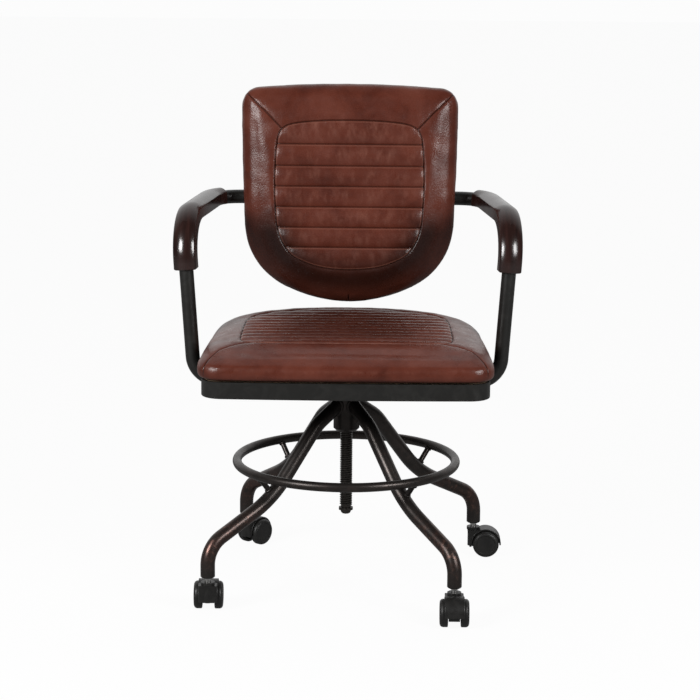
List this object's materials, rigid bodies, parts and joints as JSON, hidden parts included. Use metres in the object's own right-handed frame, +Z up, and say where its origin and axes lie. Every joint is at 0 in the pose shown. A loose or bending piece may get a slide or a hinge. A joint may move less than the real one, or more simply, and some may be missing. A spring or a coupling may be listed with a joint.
{
  "type": "office chair",
  "caption": "Swivel desk chair with a channelled leather seat and back, wooden arm pads on a bent tube frame, a screw spindle and a tube base with foot ring and castors.",
  "frame": {"origin": "on the floor, under the axis of the spindle", "axes": "+Z up along the spindle, -Y the way the sitter faces, +X to the right as seen from the front"},
  "size_m": [0.6082, 0.5688, 0.863],
  "materials": {
    "upholstery": "satin",
    "arm_wood": "satin",
    "frame_steel": "satin",
    "base_steel": "rubbed satin",
    "spindle_steel": "dark",
    "bright_steel": "plated",
    "castor_plastic": "matte",
    "castor_wheel": "satin",
    "plywood": "raw"
  },
  "bodies": {
    "base": {"hub": "base_steel", "hub_nut": "bright_steel", "leg_front_left": "base_steel", "leg_front_right": "base_steel", "leg_back_right": "base_steel", "leg_back_left": "base_steel", "foot_ring": "base_steel", "ring_struts": "base_steel", "stem_sockets": "castor_plastic", "castor_stems": "bright_steel"},
    "seat_lift": {"stop_washer": "spindle_steel"},
    "seat": {"spindle": "spindle_steel", "end_screw": "spindle_steel", "seat_plate": "frame_steel", "seat_pan": "frame_steel", "seat_spacers": "bright_steel", "seat_board": "plywood", "seat_tee_nuts": "bright_steel", "seat_bolts": "frame_steel", "seat_cushion": "upholstery", "arm_tube_left": "frame_steel", "arm_tube_right": "frame_steel", "rail_joiner": "bright_steel", "arm_bolts": "bright_steel", "arm_pad_left": "arm_wood", "arm_pad_right": "arm_wood", "pad_screws": "bright_steel", "pad_plugs": "arm_wood", "back_board": "plywood", "back_tee_nuts": "bright_steel", "back_cushion": "upholstery", "back_cover": "upholstery", "back_saddles": "frame_steel", "back_bolts": "frame_steel"},
    "castor_front_left": {"castor_front_left_housing": "castor_plastic", "castor_front_left_axle": "bright_steel"},
    "wheel_front_left_a": {"castor_front_left_wheel_a": "castor_wheel"},
    "wheel_front_left_b": {"castor_front_left_wheel_b": "castor_wheel"},
    "castor_front_right": {"castor_front_right_housing": "castor_plastic", "castor_front_right_axle": "bright_steel"},
    "wheel_front_right_a": {"castor_front_right_wheel_a": "castor_wheel"},
    "wheel_front_right_b": {"castor_front_right_wheel_b": "castor_wheel"},
    "castor_back_right": {"castor_back_right_housing": "castor_plastic", "castor_back_right_axle": "bright_steel"},
    "wheel_back_right_a": {"castor_back_right_wheel_a": "castor_wheel"},
    "wheel_back_right_b": {"castor_back_right_wheel_b": "castor_wheel"},
    "castor_back_left": {"castor_back_left_housing": "castor_plastic", "castor_back_left_axle": "bright_steel"},
    "wheel_back_left_a": {"castor_back_left_wheel_a": "castor_wheel"},
    "wheel_back_left_b": {"castor_back_left_wheel_b": "castor_wheel"}
  },
  "joints": [
    {"name": "seat_height", "type": "slide", "parent": "base", "child": "seat_lift", "axis": [0, 0, 1], "range_m": [0, 0.1401]},
    {"name": "seat_turn", "type": "hinge", "parent": "seat_lift", "child": "seat", "pos_m": [0, 0, 0.3], "axis": [0, 0, 1], "range_deg": [0, 12600]},
    {"name": "castor_front_left_swivel", "type": "hinge", "parent": "base", "child": "castor_front_left", "pos_m": [-0.23413, -0.18757, 0.06], "axis": [0, 0, 1], "continuous": true},
    {"name": "wheel_front_left_a_spin", "type": "hinge", "parent": "castor_front_left", "child": "wheel_front_left_a", "pos_m": [-0.23413, -0.16457, 0.024], "axis": [-1, 0, 0], "continuous": true},
    {"name": "wheel_front_left_b_spin", "type": "hinge", "parent": "castor_front_left", "child": "wheel_front_left_b", "pos_m": [-0.23413, -0.16457, 0.024], "axis": [-1, 0, 0], "continuous": true},
    {"name": "castor_front_right_swivel", "type": "hinge", "parent": "base", "child": "castor_front_right", "pos_m": [0.18757, -0.23413, 0.06], "axis": [0, 0, 1], "continuous": true},
    {"name": "wheel_front_right_a_spin", "type": "hinge", "parent": "castor_front_right", "child": "wheel_front_right_a", "pos_m": [0.18757, -0.25713, 0.024], "axis": [1, 0, 0], "continuous": true},
    {"name": "wheel_front_right_b_spin", "type": "hinge", "parent": "castor_front_right", "child": "wheel_front_right_b", "pos_m": [0.18757, -0.25713, 0.024], "axis": [1, 0, 0], "continuous": true},
    {"name": "castor_back_right_swivel", "type": "hinge", "parent": "base", "child": "castor_back_right", "pos_m": [0.23413, 0.18757, 0.06], "axis": [0, 0, 1], "continuous": true},
    {"name": "wheel_back_right_a_spin", "type": "hinge", "parent": "castor_back_right", "child": "wheel_back_right_a", "pos_m": [0.25713, 0.18757, 0.024], "axis": [0, 1, 0], "continuous": true},
    {"name": "wheel_back_right_b_spin", "type": "hinge", "parent": "castor_back_right", "child": "wheel_back_right_b", "pos_m": [0.25713, 0.18757, 0.024], "axis": [0, 1, 0], "continuous": true},
    {"name": "castor_back_left_swivel", "type": "hinge", "parent": "base", "child": "castor_back_left", "pos_m": [-0.18757, 0.23413, 0.06], "axis": [0, 0, 1], "continuous": true},
    {"name": "wheel_back_left_a_spin", "type": "hinge", "parent": "castor_back_left", "child": "wheel_back_left_a", "pos_m": [-0.17279, 0.25175, 0.024], "axis": [-0.766, 0.6428, 0], "continuous": true},
    {"name": "wheel_back_left_b_spin", "type": "hinge", "parent": "castor_back_left", "child": "wheel_back_left_b", "pos_m": [-0.17279, 0.25175, 0.024], "axis": [-0.766, 0.6428, 0], "continuous": true}
  ],
  "couplings": [
    {"joint": "seat_height", "follows": "seat_turn", "m_per_rad": 0.00063662}
  ]
}
